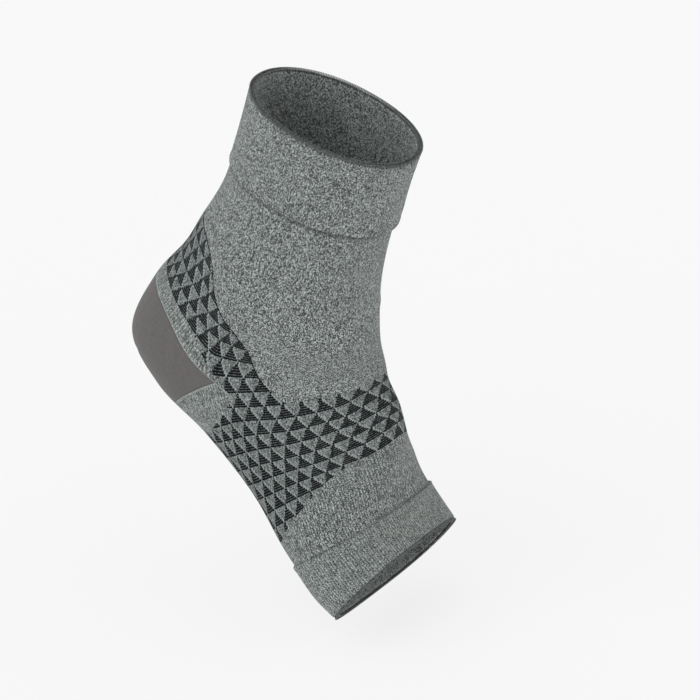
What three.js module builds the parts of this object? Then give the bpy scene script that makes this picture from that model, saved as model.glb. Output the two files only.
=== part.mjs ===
// Arch support sleeve: an open-toe knitted sleeve for the right foot, in the form it has while worn.
// Millimetres, +Z up, toes towards +X, the outer side of the foot towards -Y.
// The origin is the centre of the ankle joint, inside the sleeve.
import * as THREE from "three";

// Driving sizes
const LEG_RISE = 91; // ankle joint to the top edge, along the leg
const LEG_DEPTH = 80; // back to front of the leg
const LEG_WIDTH = 66; // side to side of the leg
const ANKLE_SETBACK = 56; // back of the heel to the ankle joint
const ANKLE_HEIGHT = 72; // sole to the ankle joint
const SOLE_REACH = 182; // back of the heel to the toe edge
const INSTEP_HEIGHT = 85; // sole to the front of the ankle
const BALL_WIDTH = 90; // across the ball of the foot
const FOOT_PITCH = 38; // degrees that the toes point down
const LEG_LEAN = 18; // degrees that the leg leans back from square to the sole

const CUFF_DEPTH = 36; // doubled top band
const HEM_DEPTH = 24.5; // doubled hem at the toes
const WALL = 1.6; // single knit
const CUFF_RISE = 1; // the doubled bands stand out by this much
const FOLD_RADIUS = 1.2; // rounding of the bands' edges
const SEAM_GAP = 0.3; // between neighbouring pieces

const COLUMNS = 64; // facets round the tube
const CORNER = 15 / COLUMNS; // share round the tube of the heel pocket's corners
const HOLE_END = 16 / COLUMNS; // share round the tube of the ends of the plain heel area

// Sections of the leg, from the top down. rise is a share of LEG_RISE, back and front of LEG_DEPTH, half
// of LEG_WIDTH. widest is the share from back to front where the section is widest, and the two powers say
// how full its back and front halves are.
const LEG_SECTIONS = [
  { name: "top edge", rise: 1, back: 0.52, front: 0.475, half: 0.5, widest: 0.5, powers: [2.1, 2.1] },
  { name: "cuff edge", rise: 0.725, back: 0.5, front: 0.475, half: 0.5, widest: 0.5, powers: [2.1, 2.1] },
  { name: "low leg", rise: 0.46, back: 0.5, front: 0.49, half: 0.5, widest: 0.5, powers: [2.1, 2.1] },
  { name: "ankle", rise: 0.2, back: 0.562, front: 0.537, half: 0.53, widest: 0.5, powers: [2.1, 2.2] },
];

// Sections of the foot, from the heel to the toes, fanned round the ankle. Each runs from an under point to
// an upper point, [x, z] as shares of SOLE_REACH and INSTEP_HEIGHT. half and shift are shares of BALL_WIDTH.
const FOOT_SECTIONS = [
  { name: "heel top", under: [0.05, 0.67], upper: [0.582, 1],
    half: 0.38, shift: 0, widest: 0.48, powers: [2.1, 2.2] },
  { name: "heel back", under: [0.044, 0.4], upper: [0.632, 0.94],
    half: 0.36, shift: 0, widest: 0.42, powers: [2.2, 2.2] },
  { name: "heel base", under: [0.082, 0.082], upper: [0.668, 0.894],
    half: 0.355, shift: 0, widest: 0.36, powers: [2.4, 2.2] },
  { name: "heel sole", under: [0.209, 0], upper: [0.72, 0.847],
    half: 0.355, shift: 0, widest: 0.32, powers: [2.7, 2.2] },
  { name: "arch", under: [0.385, 0.024], upper: [0.791, 0.729],
    half: 0.378, shift: 0.011, widest: 0.36, powers: [2.5, 2.2] },
  { name: "midfoot", under: [0.582, 0.035], upper: [0.824, 0.659],
    half: 0.428, shift: 0.022, widest: 0.36, powers: [2.5, 2.2] },
  { name: "ball", under: [0.78, -0.005], upper: [0.879, 0.529],
    half: 0.5, shift: 0.033, widest: 0.38, powers: [2.6, 2.3] },
  { name: "toe edge", under: [0.985, -0.035], upper: [0.985, 0.468],
    half: 0.5, shift: 0.044, widest: 0.4, powers: [2.6, 2.3] },
];

// Bumps and hollows on the two sides. x and z are as in FOOT_SECTIONS, and height, outward, and radius are
// shares of BALL_WIDTH.
const RELIEF = [
  { name: "outer ankle bone", side: -1, x: 0.27, z: 0.84, height: 0.028, radius: 0.167 },
  { name: "inner ankle bone", side: 1, x: 0.33, z: 0.92, height: 0.033, radius: 0.178 },
  { name: "outer heel hollow", side: -1, x: 0.13, z: 0.86, height: -0.028, radius: 0.144 },
  { name: "inner heel hollow", side: 1, x: 0.13, z: 0.9, height: -0.033, radius: 0.156 },
  { name: "arch hollow", side: 1, x: 0.46, z: 0.14, height: -0.089, radius: 0.289 },
  { name: "outer toe pad", side: -1, x: 0.92, z: 0.06, height: 0.025, radius: 0.13 },
];

// Guide courses of the knit. row counts rows of the triangle pattern. along gives how far each course has
// come from the top band to the hem, as a share, at the columns listed, from the back or sole to the front.
// kink is how sharply it turns at the heel pocket's corner. The pocket opens between the two rows at
// POCKET_ROW.
const FIRST_ROW = -9.5;
const POCKET_ROW = 1.4;
const LAST_ROW = 14;
const GUIDE_COLUMNS = [0, 0.08, 0.16, CORNER, 0.33, 0.42, 0.5];
const LEG_COURSES = [
  { row: FIRST_ROW, along: [0, 0, 0, 0, 0, 0, 0], kink: 0 },
  { row: -4, along: [0.215, 0.217, 0.25, 0.28, 0.263, 0.215, 0.183], kink: 0 },
  { row: -2, along: [0.306, 0.307, 0.329, 0.366, 0.349, 0.296, 0.258], kink: 0.3 },
  { row: 0, along: [0.36, 0.362, 0.399, 0.453, 0.422, 0.36, 0.317], kink: 0.6 },
  { row: POCKET_ROW, along: [0.393, 0.398, 0.441, 0.53, 0.484, 0.409, 0.355], kink: 1 },
];
const FOOT_COURSES = [
  { row: POCKET_ROW, along: [0.683, 0.656, 0.589, 0.53, 0.484, 0.409, 0.355], kink: 1 },
  { row: 4, along: [0.742, 0.723, 0.684, 0.636, 0.596, 0.537, 0.449], kink: 0.3 },
  { row: 6, along: [0.801, 0.79, 0.758, 0.718, 0.669, 0.61, 0.556], kink: 0 },
  { row: 8, along: [0.855, 0.847, 0.824, 0.793, 0.741, 0.678, 0.632], kink: 0 },
  { row: 11, along: [0.946, 0.941, 0.924, 0.897, 0.858, 0.812, 0.782], kink: 0 },
  { row: LAST_ROW, along: [1, 1, 1, 1, 1, 1, 1], kink: 0 },
];

// Edges of the patterned band, in rows, at shares round the tube from the back or sole to the front
const BAND_TOP = [
  [0, -5.3], [0.08, -5.1], [0.13, -5.1], [0.15, -4.9], [0.17, -4.4], [0.19, -3.5], [0.22, -2.8],
  [0.25, -2.2], [0.28, -1.1], [0.31, 1], [0.34, 3], [0.5, 3],
];
const HEEL_TOP = [[0, 0], [0.18, 0], [CORNER, 0.8], [HOLE_END, 2.2]];
const HEEL_BOTTOM = [[0, 4.3], [0.15, 4.2], [0.2, 3.6], [CORNER, 2.9], [HOLE_END, 2.2]];
const BAND_BOTTOM = [
  [0, 12.3], [0.2, 12], [0.23, 11.4], [0.26, 11], [0.3, 10.4], [0.34, 9.8], [0.4, 9.1], [0.5, 9],
];

const GREY = { color: 0x777c7a, roughness: 0.95, metalness: 0 };
const PATTERN = { color: 0x4b4f50, roughness: 0.95, metalness: 0 };
const HEEL = { color: 0x666564, roughness: 0.9, metalness: 0 };

const radians = THREE.MathUtils.degToRad;

// Slopes of a smooth curve through points, each from the parabola through its neighbours
function slopes(at, values) {
  const last = at.length - 1;
  const chord = (i) => (values[i + 1] - values[i]) / (at[i + 1] - at[i]);
  const found = values.map((_, i) => {
    if (i === 0 || i === last) return 0;
    const before = at[i] - at[i - 1];
    const after = at[i + 1] - at[i];
    return (chord(i - 1) * after + chord(i) * before) / (before + after);
  });
  found[0] = 1.5 * chord(0) - 0.5 * found[1];
  found[last] = 1.5 * chord(last - 1) - 0.5 * found[last - 1];
  return found;
}

function spanOf(at, x) {
  let i = 0;
  while (i < at.length - 2 && x >= at[i + 1]) i++;
  return i;
}

// Cubic through two points with the slopes given at each
function cubic(at, values, leaving, arriving, x) {
  const i = spanOf(at, x);
  const h = at[i + 1] - at[i];
  const t = (x - at[i]) / h;
  const t2 = t * t;
  const t3 = t2 * t;
  return (
    (2 * t3 - 3 * t2 + 1) * values[i] +
    (t3 - 2 * t2 + t) * h * leaving[i] +
    (3 * t2 - 2 * t3) * values[i + 1] +
    (t3 - t2) * h * arriving[i + 1]
  );
}

function stepped(pairs, x) {
  const i = spanOf(pairs.map((p) => p[0]), x);
  const [a, b] = [pairs[i], pairs[i + 1]];
  return a[1] + ((b[1] - a[1]) * (x - a[0])) / (b[0] - a[0]);
}

// Every section as one row of numbers: under x and z, upper x and z, half width, widest, powers and shift
function sectionRows() {
  const lean = radians(LEG_LEAN);
  const up = [-Math.sin(lean), Math.cos(lean)];
  const ahead = [Math.cos(lean), Math.sin(lean)];
  const leg = LEG_SECTIONS.map((s) => {
    const centre = [ANKLE_SETBACK, ANKLE_HEIGHT].map((c, k) => c + s.rise * LEG_RISE * up[k]);
    const under = centre.map((c, k) => c - s.back * LEG_DEPTH * ahead[k]);
    const upper = centre.map((c, k) => c + s.front * LEG_DEPTH * ahead[k]);
    return [...under, ...upper, s.half * LEG_WIDTH, s.widest, ...s.powers, 0];
  });
  const scale = [SOLE_REACH, INSTEP_HEIGHT];
  const foot = FOOT_SECTIONS.map((s) => [
    ...s.under.map((v, k) => v * scale[k]),
    ...s.upper.map((v, k) => v * scale[k]),
    s.half * BALL_WIDTH,
    s.widest,
    ...s.powers,
    -s.shift * BALL_WIDTH,
  ]);
  return [...leg, ...foot];
}

const rows = sectionRows();
const stations = [0];
for (let i = 1; i < rows.length; i++) {
  const step = (k) => Math.hypot(rows[i][k] - rows[i - 1][k], rows[i][k + 1] - rows[i - 1][k + 1]);
  stations.push(stations[i - 1] + (step(0) + step(2)) / 2);
}
const LENGTH = stations.at(-1);
const measures = rows[0].map((_, k) => {
  const values = rows.map((r) => r[k]);
  const slope = slopes(stations, values);
  return (station) => cubic(stations, values, slope, slope, station);
});

// The outline of the section at a station, closed, from the under point round by the outer side
const OUTLINE_STEPS = 144;
const outlines = new Map();
function outline(station) {
  const key = station.toFixed(4);
  if (outlines.has(key)) return outlines.get(key);
  const [ux, uz, px, pz, half, widest, underPower, upperPower, shift] = measures.map((m) => m(station));
  const cx = ux + (px - ux) * widest;
  const cz = uz + (pz - uz) * widest;
  const points = [];
  const lengths = [0];
  for (let i = 0; i <= OUTLINE_STEPS; i++) {
    const angle = (2 * Math.PI * i) / OUTLINE_STEPS;
    const along = -Math.cos(angle);
    const across = Math.sin(angle);
    const power = 2 / (along < 0 ? underPower : upperPower);
    const k = Math.abs(along) ** power;
    const y = Math.sign(across) * Math.abs(across) ** power;
    const x = along < 0 ? cx + (ux - cx) * k : cx + (px - cx) * k;
    const z = along < 0 ? cz + (uz - cz) * k : cz + (pz - cz) * k;
    points.push(new THREE.Vector3(x, shift - half * y, z));
    if (i) lengths.push(lengths[i - 1] + points[i].distanceTo(points[i - 1]));
    points[i].sideShare = Math.abs(y);
  }
  const made = { points, lengths };
  outlines.set(key, made);
  return made;
}

// Point of the sleeve's outer face on a foot that stands flat, at a station and a share round the tube
function flatPoint(station, round) {
  const { points, lengths } = outline(station);
  const want = (round - Math.floor(round)) * lengths.at(-1);
  let low = 0;
  let high = OUTLINE_STEPS;
  while (high - low > 1) {
    const middle = (low + high) >> 1;
    if (lengths[middle] <= want) low = middle;
    else high = middle;
  }
  const t = (want - lengths[low]) / (lengths[low + 1] - lengths[low]);
  const point = points[low].clone().lerp(points[low + 1], t);
  const share = points[low].sideShare * (1 - t) + points[low + 1].sideShare * t;
  const side = round - Math.floor(round) < 0.5 ? -1 : 1;
  for (const bump of RELIEF) {
    if (bump.side !== side) continue;
    const dx = point.x - bump.x * SOLE_REACH;
    const dz = point.z - bump.z * INSTEP_HEIGHT;
    const radius = bump.radius * BALL_WIDTH;
    const fall = Math.exp(-(dx * dx + dz * dz) / (radius * radius));
    point.y += side * bump.height * BALL_WIDTH * fall * share * share;
  }
  return point;
}

// The same point on the raised heel, measured from the ankle joint
function surface(station, round) {
  const p = flatPoint(station, round);
  const pitch = radians(FOOT_PITCH);
  const x = p.x - ANKLE_SETBACK;
  const z = p.z - ANKLE_HEIGHT;
  const ahead = x * Math.cos(pitch) + z * Math.sin(pitch);
  const up = z * Math.cos(pitch) - x * Math.sin(pitch);
  return new THREE.Vector3(ahead, p.y, up);
}

function outward(station, round) {
  const reach = 0.5;
  const turn = 0.004;
  const before = Math.max(station - reach, 0);
  const after = Math.min(station + reach, LENGTH);
  const along = surface(after, round).sub(surface(before, round));
  const around = surface(station, round + turn).sub(surface(station, round - turn));
  return along.cross(around).normalize();
}

// How far a guide course has come at a share round the tube. It is level at the back and at the front.
function courseAlong(course, round) {
  const at = GUIDE_COLUMNS;
  const last = at.length - 1;
  const corner = at.indexOf(CORNER);
  const slope = slopes(at, course.along);
  slope[0] = 0;
  slope[last] = 0;
  const chord = (i) => (course.along[i + 1] - course.along[i]) / (at[i + 1] - at[i]);
  const leaving = [...slope];
  const arriving = [...slope];
  arriving[corner] += course.kink * (1.5 * chord(corner - 1) - 0.5 * slope[corner - 1] - slope[corner]);
  leaving[corner] += course.kink * (1.5 * chord(corner) - 0.5 * slope[corner + 1] - slope[corner]);
  return cubic(at, course.along, leaving, arriving, round);
}

// Station of a row of the knit at a share round the tube. Behind the corners the heel pocket splits the
// courses.
function knitStation(row, round, onFootSide) {
  const turned = Math.abs(round - Math.round(round));
  let courses = onFootSide ? FOOT_COURSES : LEG_COURSES;
  if (turned >= CORNER) courses = [...LEG_COURSES, ...FOOT_COURSES.slice(1)];
  const at = courses.map((c) => c.row);
  const values = courses.map((c) => courseAlong(c, turned));
  const slope = slopes(at, values);
  const share = cubic(at, values, slope, slope, row);
  return CUFF_DEPTH + share * (LENGTH - CUFF_DEPTH - HEM_DEPTH);
}

function panelPoint(row, round, onFootSide) {
  return { station: knitStation(row, round, onFootSide), round, lift: 0 };
}

// A wall from cells of four points each, in order round the outer face: an outer and an inner face, joined
// by a rim along each edge that only one cell has. Each rim stands back by half of the seam's gap.
function wall(cells, thickness) {
  const found = new Map();
  const points = [];
  function indexOf(cellPoint) {
    const at = surface(cellPoint.station, cellPoint.round);
    const key = [at.x, at.y, at.z].map((v) => Math.round(v * 1000)).join();
    if (!found.has(key)) {
      found.set(key, points.length);
      const normal = outward(cellPoint.station, cellPoint.round);
      const depth = thickness + cellPoint.lift - (cellPoint.fold ?? 0);
      points.push({
        outer: at.clone().addScaledVector(normal, cellPoint.lift),
        inner: at.clone().addScaledVector(normal, cellPoint.lift - depth),
        normal,
        inset: new THREE.Vector3(),
      });
    }
    return found.get(key);
  }
  const faces = [];
  const edges = new Map();
  for (const cell of cells) {
    const corners = cell.map(indexOf).filter((v, i, all) => v !== all[(i + 1) % all.length]);
    for (let i = 1; i + 1 < corners.length; i++) faces.push([corners[0], corners[i], corners[i + 1]]);
    corners.forEach((a, i) => {
      const b = corners[(i + 1) % corners.length];
      edges.set(a + "," + b, [a, b]);
    });
  }
  const rim = [...edges.values()].filter(([a, b]) => !edges.has(b + "," + a));
  const inwards = points.map(() => []);
  for (const [a, b] of rim) {
    const run = points[b].outer.clone().sub(points[a].outer).normalize();
    for (const v of [a, b]) inwards[v].push(points[v].normal.clone().cross(run).normalize());
  }
  const sharpest = 0.4;
  inwards.forEach((ways, v) => {
    if (!ways.length) return;
    const middle = ways.reduce((sum, way) => sum.add(way), new THREE.Vector3()).normalize();
    const spread = Math.max(middle.dot(ways[0]), sharpest);
    points[v].inset.copy(middle).multiplyScalar(SEAM_GAP / 2 / spread);
  });
  const position = [];
  for (const side of ["outer", "inner"])
    for (const p of points) position.push(...p[side].clone().add(p.inset).toArray());
  const inner = points.length;
  const index = [];
  for (const [a, b, c] of faces) index.push(a, b, c, inner + a, inner + c, inner + b);
  for (const [a, b] of rim) index.push(b, a, inner + a, b, inner + a, inner + b);
  return new THREE.BufferGeometry()
    .setAttribute("position", new THREE.Float32BufferAttribute(position, 3))
    .setIndex(index);
}

// Cells between lines of points that run side by side, line after line down the tube
function strip(lines) {
  const cells = [];
  for (let j = 0; j + 1 < lines.length; j++)
    for (let i = 0; i + 1 < lines[j].length; i++)
      cells.push([lines[j][i], lines[j + 1][i], lines[j + 1][i + 1], lines[j][i + 1]]);
  return cells;
}

const columnsBetween = (from, to) =>
  Array.from({ length: Math.round((to - from) * COLUMNS) + 1 }, (_, i) => from + i / COLUMNS);
const allRound = columnsBetween(0, 1);
const heelRound = columnsBetween(-HOLE_END, HOLE_END);
const pocketRound = columnsBetween(-CORNER, CORNER);

// Lines of points down from one edge to another, each edge a function of the share round the tube
function panelLines(around, from, to, steps, onFootSide) {
  return Array.from({ length: steps + 1 }, (_, j) =>
    around.map((round) => {
      const [a, b] = [from(round), to(round)];
      return panelPoint(a + ((b - a) * j) / steps, round, onFootSide);
    }),
  );
}
const turnedBy = (pairs) => (round) => stepped(pairs, Math.abs(round - Math.round(round)));
const bandTop = turnedBy(BAND_TOP);
const bandBottom = turnedBy(BAND_BOTTOM);
const heelTop = turnedBy(HEEL_TOP);
const heelBottom = turnedBy(HEEL_BOTTOM);
const level = (row) => () => row;

// A doubled band between two stations, both of its edges rounded
function foldedBand(from, to, steps) {
  const edge = FOLD_RADIUS;
  const lines = [{ at: from, lift: 0.4, fold: 0.5 }, { at: from + edge, lift: 1, fold: 0 }];
  for (let i = 1; i < steps; i++) lines.push({ at: from + ((to - from) * i) / steps, lift: 1, fold: 0 });
  lines.push({ at: to - edge, lift: 1, fold: 0 }, { at: to, lift: 0.4, fold: 0.5 });
  return strip(
    lines.map((line) =>
      allRound.map((round) => ({
        station: line.at,
        round,
        lift: line.lift * CUFF_RISE,
        fold: line.fold * CUFF_RISE,
      })),
    ),
  );
}

// The patterned band is one ring with the plain heel area left open at the back. In front of the opening's
// ends its middle line keeps the share of the band's depth that it has there.
function bandCells() {
  const shareAtEnd = (heelTop(HOLE_END) - bandTop(HOLE_END)) / (bandBottom(HOLE_END) - bandTop(HOLE_END));
  const middle = (round) => bandTop(round) + (bandBottom(round) - bandTop(round)) * shareAtEnd;
  const frontRound = columnsBetween(HOLE_END, 1 - HOLE_END);
  const [above, below] = [5, 6];
  return [
    ...strip(panelLines(heelRound, bandTop, heelTop, above, false)),
    ...strip(panelLines(heelRound, heelBottom, bandBottom, below, true)),
    ...strip(panelLines(frontRound, bandTop, middle, above, false)),
    ...strip(panelLines(frontRound, middle, bandBottom, below, false)),
  ];
}

// The plain area round the heel pocket: above it, below it, and the two ends that join them
function surroundCells() {
  const pocketEdge = (edge) => (round) => (Math.abs(round) > CORNER ? edge(round) : POCKET_ROW);
  return [
    ...strip(panelLines(heelRound, heelTop, pocketEdge(heelTop), 2, false)),
    ...strip(panelLines(heelRound, pocketEdge(heelBottom), heelBottom, 3, true)),
  ];
}

// The pocket runs from the last course of the leg to the first of the sole
function pocketCells() {
  const steps = 7;
  return strip(
    Array.from({ length: steps + 1 }, (_, j) =>
      pocketRound.map((round) => {
        const top = knitStation(POCKET_ROW, round, false);
        const bottom = knitStation(POCKET_ROW, round, true);
        return { station: top + ((bottom - top) * j) / steps, round, lift: 0 };
      }),
    ),
  );
}

function piece(name, cells, look) {
  const mesh = new THREE.Mesh(wall(cells, WALL), new THREE.MeshStandardMaterial(look));
  mesh.name = name;
  return mesh;
}

const group = new THREE.Group();
group.add(
  piece("ankle_cuff", foldedBand(0, CUFF_DEPTH, 4), GREY),
  piece("leg_panel", strip(panelLines(allRound, level(FIRST_ROW), bandTop, 7, false)), GREY),
  piece("support_band", bandCells(), PATTERN),
  piece("heel_surround", surroundCells(), GREY),
  piece("heel_pocket", pocketCells(), HEEL),
  piece("foot_panel", strip(panelLines(allRound, bandBottom, level(LAST_ROW), 4, true)), GREY),
  piece("toe_cuff", foldedBand(LENGTH - HEM_DEPTH, LENGTH, 3), GREY),
);
export default group;
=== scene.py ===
# Arch support sleeve: open-toe knitted sleeve for a right foot, in the form it has while worn.
# Sizes are in millimetres until a mesh is made, and Blender holds metres. +Z up, toes +X, outer side -Y,
# origin at the centre of the ankle joint.
import bpy
import math
from functools import partial
import numpy as np
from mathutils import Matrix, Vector


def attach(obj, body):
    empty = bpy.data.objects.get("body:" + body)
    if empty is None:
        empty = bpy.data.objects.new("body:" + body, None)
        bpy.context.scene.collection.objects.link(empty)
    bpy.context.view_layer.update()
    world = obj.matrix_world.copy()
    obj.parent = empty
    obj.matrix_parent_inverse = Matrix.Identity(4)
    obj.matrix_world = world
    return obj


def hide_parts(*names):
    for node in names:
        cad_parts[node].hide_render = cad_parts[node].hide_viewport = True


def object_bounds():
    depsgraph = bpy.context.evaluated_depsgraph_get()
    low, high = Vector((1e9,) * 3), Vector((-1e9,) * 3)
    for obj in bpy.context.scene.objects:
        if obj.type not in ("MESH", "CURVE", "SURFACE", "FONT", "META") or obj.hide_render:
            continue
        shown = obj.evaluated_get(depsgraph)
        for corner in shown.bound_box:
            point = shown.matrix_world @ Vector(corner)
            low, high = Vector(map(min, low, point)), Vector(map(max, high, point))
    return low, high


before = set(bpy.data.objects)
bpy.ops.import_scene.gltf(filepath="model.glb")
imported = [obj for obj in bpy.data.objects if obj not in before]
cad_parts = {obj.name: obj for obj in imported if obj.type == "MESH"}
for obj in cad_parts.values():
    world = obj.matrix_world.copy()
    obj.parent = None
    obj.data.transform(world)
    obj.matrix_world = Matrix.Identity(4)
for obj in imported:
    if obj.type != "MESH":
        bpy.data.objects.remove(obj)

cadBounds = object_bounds()
mm = 0.001
print("frame loaded:", ", ".join(sorted(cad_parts)))


# Camera and light

camera = {
    "azimuth": 30,  # degrees round from the outer side towards the toes
    "elevation": 22,
    "distance": 1.7,
    "target": (0.03654, 0, -0.02126),
    "widthSeen": 0.3111,  # metres across the picture at the target
    "sensor": 36,
}


def directionFrom(azimuth, elevation):
    az, el = math.radians(azimuth), math.radians(elevation)
    return Vector((math.sin(az) * math.cos(el), -math.cos(az) * math.cos(el), math.sin(el)))


def addCamera(c):
    towards = directionFrom(c["azimuth"], c["elevation"])
    data = bpy.data.cameras.new("camera")
    data.sensor_width = c["sensor"]
    data.lens = c["sensor"] * c["distance"] / c["widthSeen"]
    data.clip_end = 50
    obj = bpy.data.objects.new("camera", data)
    obj.location = Vector(c["target"]) + c["distance"] * towards
    obj.rotation_euler = (-towards).to_track_quat("-Z", "Y").to_euler()
    bpy.context.scene.collection.objects.link(obj)
    bpy.context.scene.camera = obj


studio = {
    "skyColour": (0.98, 0.99, 1.0),
    "skyStrength": 0.6,
    "floorBelow": 8.5,  # under the sleeve, where the toes would stand
    "floorSize": 12.0,
    "floorColour": (0.15, 0.15, 0.15),
    "floorGlow": 0.79,  # a light table, so the shadow stays faint
    "suns": [  # name, power, azimuth and elevation that it comes from, width in degrees, colour
        ("keySun", 1.0, -20, 40, 60, (0.98, 1.0, 0.99)),
        ("fillSun", 0.38, 90, 30, 80, (1.0, 0.98, 0.86)),
    ],
}


def addStudio(s):
    world = bpy.data.worlds.new("studioSky")
    world.use_nodes = True
    sky = world.node_tree.nodes["Background"]
    sky.inputs["Color"].default_value = (*s["skyColour"], 1)
    sky.inputs["Strength"].default_value = s["skyStrength"]
    bpy.context.scene.world = world
    for name, power, azimuth, elevation, width, colour in s["suns"]:
        light = bpy.data.lights.new(name, "SUN")
        light.energy = power
        light.angle = math.radians(width)
        light.color = colour
        obj = bpy.data.objects.new(name, light)
        obj.rotation_euler = directionFrom(azimuth, elevation).to_track_quat("Z", "Y").to_euler()
        bpy.context.scene.collection.objects.link(obj)
    half = s["floorSize"] / 2
    level = cadBounds[0][2] - s["floorBelow"] * mm
    corners = [(-half, -half, level), (half, -half, level), (half, half, level), (-half, half, level)]
    mesh = bpy.data.meshes.new("floor")
    mesh.from_pydata(corners, [], [(0, 1, 2, 3)])
    paint = bpy.data.materials.new("palePaper")
    paint.use_nodes = True
    shader = paint.node_tree.nodes["Principled BSDF"]
    shader.inputs["Base Color"].default_value = (*s["floorColour"], 1)
    shader.inputs["Roughness"].default_value = 0.9
    shader.inputs["Emission Color"].default_value = (1, 1, 1, 1)
    shader.inputs["Emission Strength"].default_value = s["floorGlow"]
    mesh.materials.append(paint)
    floor = bpy.data.objects.new("floor", mesh)
    bpy.context.scene.collection.objects.link(floor)


addCamera(camera)
addStudio(studio)
bpy.context.scene.view_settings.view_transform = "Standard"
print("camera and studio ready")


# Form of the foot and leg that fill the sleeve

form = {
    "legRise": 91,  # ankle joint to the top edge, along the leg
    "legDepth": 80,
    "legWidth": 66,
    "ankleSetback": 56,  # back of the heel to the ankle joint
    "ankleHeight": 72,
    "soleReach": 182,  # back of the heel to the toe edge
    "instepHeight": 85,
    "ballWidth": 90,
    "footPitch": 38,  # degrees that the toes point down
    "legLean": 18,  # degrees that the leg leans back from square to the sole
    "cuffDepth": 36,
    "hemDepth": 24.5,
    "wall": 1.6,
}

# The sections' lengths were fitted to the photograph's outline and rounded.
# Sections down the leg: share of the rise, back and front as shares of the depth, half of the width, share
# from back to front where it is widest, and how full its back and front are
legSections = [
    (1, 0.52, 0.475, 0.5, 0.5, 2.1, 2.1),
    (0.725, 0.5, 0.475, 0.5, 0.5, 2.1, 2.1),
    (0.46, 0.5, 0.49, 0.5, 0.5, 2.1, 2.1),
    (0.2, 0.562, 0.537, 0.53, 0.5, 2.1, 2.2),
]

# Sections of the foot, fanned round the ankle: under x and z, upper x and z as shares of the sole's reach and
# the instep's height, half width and shift as shares of the ball's width, then as above
footSections = [
    (0.05, 0.67, 0.582, 1, 0.38, 0, 0.48, 2.1, 2.2),
    (0.044, 0.4, 0.632, 0.94, 0.36, 0, 0.42, 2.2, 2.2),
    (0.082, 0.082, 0.668, 0.894, 0.355, 0, 0.36, 2.4, 2.2),
    (0.209, 0, 0.72, 0.847, 0.355, 0, 0.32, 2.7, 2.2),
    (0.385, 0.024, 0.791, 0.729, 0.378, 0.011, 0.36, 2.5, 2.2),
    (0.582, 0.035, 0.824, 0.659, 0.428, 0.022, 0.36, 2.5, 2.2),
    (0.78, -0.005, 0.879, 0.529, 0.5, 0.033, 0.38, 2.6, 2.3),
    (0.985, -0.035, 0.985, 0.468, 0.5, 0.044, 0.4, 2.6, 2.3),
]

# Bones and hollows: side, x and z as above, outward height and radius as shares of the ball's width
relief = [
    (-1, 0.27, 0.84, 0.028, 0.167),
    (1, 0.33, 0.92, 0.033, 0.178),
    (-1, 0.13, 0.86, -0.028, 0.144),
    (1, 0.13, 0.9, -0.033, 0.156),
    (1, 0.46, 0.14, -0.089, 0.289),
    (-1, 0.92, 0.06, 0.025, 0.13),
]


def slopesOf(at, values):
    step = np.diff(at)[:, None]
    chord = np.diff(values, axis=0) / step
    slope = np.zeros_like(values)
    slope[1:-1] = (chord[:-1] * step[1:] + chord[1:] * step[:-1]) / (step[1:] + step[:-1])
    slope[0] = 1.5 * chord[0] - 0.5 * slope[1]
    slope[-1] = 1.5 * chord[-1] - 0.5 * slope[-2]
    return slope


def cubic(start, end, leaving, arriving, width, t):
    t2, t3 = t * t, t * t * t
    bend = (t3 - 2 * t2 + t) * width * leaving + (t3 - t2) * width * arriving
    return (2 * t3 - 3 * t2 + 1) * start + (3 * t2 - 2 * t3) * end + bend


def spanOf(at, x):
    return np.clip(np.searchsorted(at, x, side="right") - 1, 0, len(at) - 2)


def sectionRows(f):
    lean = math.radians(f["legLean"])
    joint = np.array([f["ankleSetback"], f["ankleHeight"]])
    up = np.array([-math.sin(lean), math.cos(lean)])
    ahead = np.array([math.cos(lean), math.sin(lean)])
    reach, height, width = f["soleReach"], f["instepHeight"], f["ballWidth"]
    found = []
    for rise, back, front, half, *shape in legSections:
        centre = joint + rise * f["legRise"] * up
        under = centre - back * f["legDepth"] * ahead
        upper = centre + front * f["legDepth"] * ahead
        found.append([*under, *upper, half * f["legWidth"], *shape, 0])
    for underX, underZ, upperX, upperZ, half, shift, *shape in footSections:
        ends = [underX * reach, underZ * height, upperX * reach, upperZ * height]
        found.append([*ends, half * width, *shape, -shift * width])
    return np.array(found, float)


rows = sectionRows(form)
rowStep = np.hypot(*np.diff(rows[:, 0:2], axis=0).T) + np.hypot(*np.diff(rows[:, 2:4], axis=0).T)
rowStations = np.concatenate([[0], np.cumsum(rowStep / 2)])
rowSlopes = slopesOf(rowStations, rows)
length = rowStations[-1]
gridSteps = {"stations": 720, "rounds": 1536, "angles": 1440}
stepsPerMm = 2000  # points that round to the same step are one point of a mesh


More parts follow.
